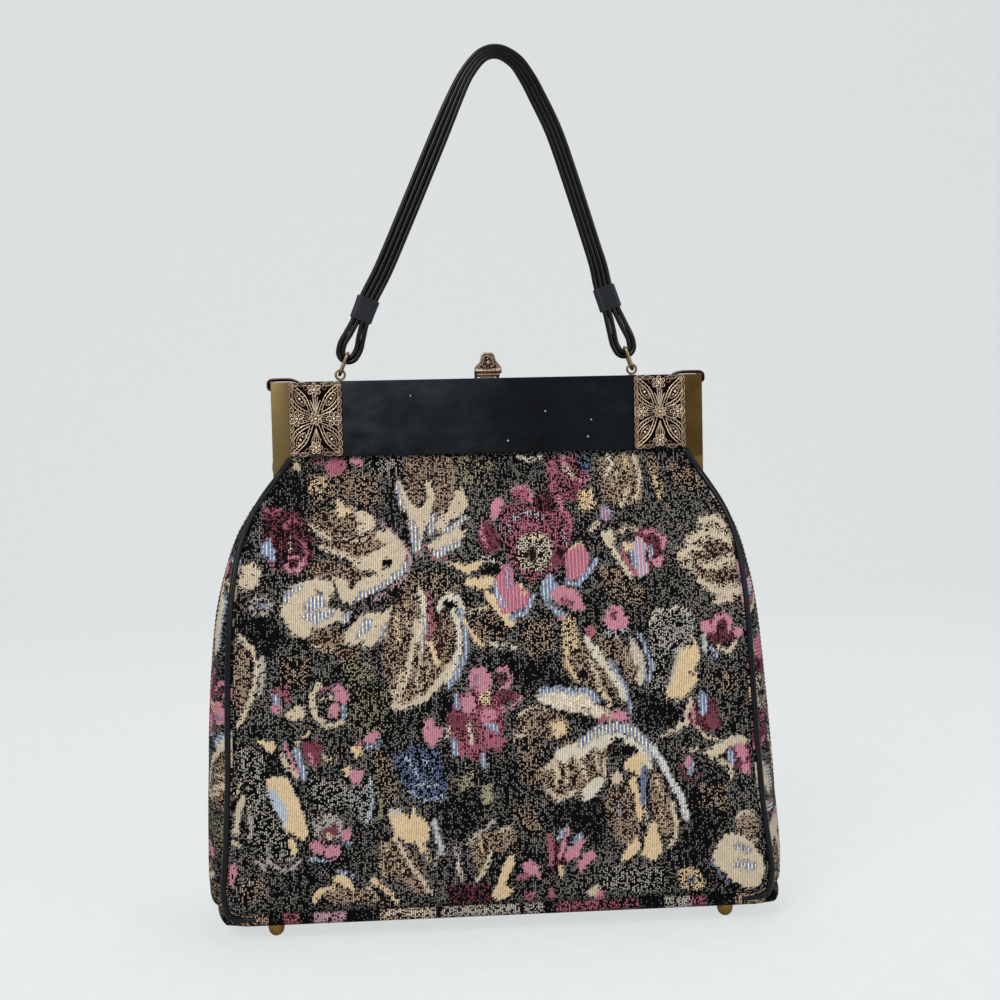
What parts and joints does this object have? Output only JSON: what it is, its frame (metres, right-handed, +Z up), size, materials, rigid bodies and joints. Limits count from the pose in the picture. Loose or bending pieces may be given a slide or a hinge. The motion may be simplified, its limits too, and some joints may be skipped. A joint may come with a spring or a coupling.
{
  "type": "framed tapestry handbag",
  "caption": "Framed tapestry handbag with a hinged leather-and-brass frame, filigree end plates, lever clasp, corded carrying handle, piped cloth body and studded base.",
  "frame": {"origin": "middle of the base at the level of the feet's tips, where the closed bag stands", "axes": "+Z up, +X to the right seen from the front, +Y to the back; the front with the filigree faces -Y"},
  "size_m": [0.2898, 0.092, 0.4391],
  "materials": {
    "tapestry": "jacquard tapestry of leaves and flowers on a charcoal ground, ribbed weave",
    "board": "plain brown stiffening board",
    "piping_leather": "smooth black-navy leather cord",
    "foot_brass": "worn brass",
    "plain_steel": "plain steel",
    "lining_cloth": "plain dark lining cloth",
    "frame_steel": "plain steel, hidden by the leather",
    "jaw_leather": "smooth black leather with faint grain and scuffs",
    "frame_brass": "worn brass plate with brown tarnish",
    "filigree_brass": "antique pierced filigree, dark in the recesses",
    "clasp_brass": "antique brass",
    "clip_copper": "dark copper-brown strip",
    "ring_brass": "dull brass wire",
    "handle_leather": "smooth black leather cord"
  },
  "bodies": {
    "bag": {"front_panel": "tapestry", "back_panel": "tapestry", "left_gusset": "tapestry", "right_gusset": "tapestry", "base_cover": "tapestry", "base_board": "board", "front_piping": "piping_leather", "back_piping": "piping_leather", "foot_front_left": "foot_brass", "foot_front_right": "foot_brass", "foot_back_left": "foot_brass", "foot_back_right": "foot_brass", "foot_washers": "plain_steel", "lining": "lining_cloth", "front_stiffener": "board", "back_stiffener": "board", "left_rivet": "plain_steel", "right_rivet": "plain_steel"},
    "front_jaw": {"front_frame": "frame_steel", "front_leather": "jaw_leather", "front_left_cap": "frame_brass", "front_right_cap": "frame_brass", "left_filigree": "filigree_brass", "right_filigree": "filigree_brass", "clasp_catch": "clasp_brass"},
    "back_jaw": {"back_frame": "frame_steel", "back_leather": "jaw_leather", "back_left_cap": "frame_brass", "back_right_cap": "frame_brass", "left_corner_clip": "clip_copper", "right_corner_clip": "clip_copper", "left_handle_eye": "ring_brass", "right_handle_eye": "ring_brass", "clasp_base": "clasp_brass", "clasp_pin": "plain_steel"},
    "clasp": {"clasp_lever": "clasp_brass"},
    "handle": {"left_ring": "ring_brass", "right_ring": "ring_brass", "inner_cord": "handle_leather", "outer_cord": "handle_leather", "left_keeper": "handle_leather", "right_keeper": "handle_leather"}
  },
  "joints": [
    {"name": "front_jaw_hinge", "type": "hinge", "parent": "bag", "child": "front_jaw", "pos_m": [0, 0, 0.2275], "axis": [1, 0, 0], "range_deg": [0, 35]},
    {"name": "back_jaw_hinge", "type": "hinge", "parent": "bag", "child": "back_jaw", "pos_m": [0, 0, 0.2275], "axis": [-1, 0, 0], "range_deg": [0, 35]},
    {"name": "clasp_hinge", "type": "hinge", "parent": "back_jaw", "child": "clasp", "pos_m": [0, 0.0042, 0.2726], "axis": [-1, 0, 0], "range_deg": [0, 40], "stiffness_Nm_per_rad": 0.01},
    {"name": "handle_hinge", "type": "hinge", "parent": "back_jaw", "child": "handle", "pos_m": [0, 0.0012, 0.27583], "axis": [1, 0, 0], "range_deg": [-70, 70]}
  ]
}
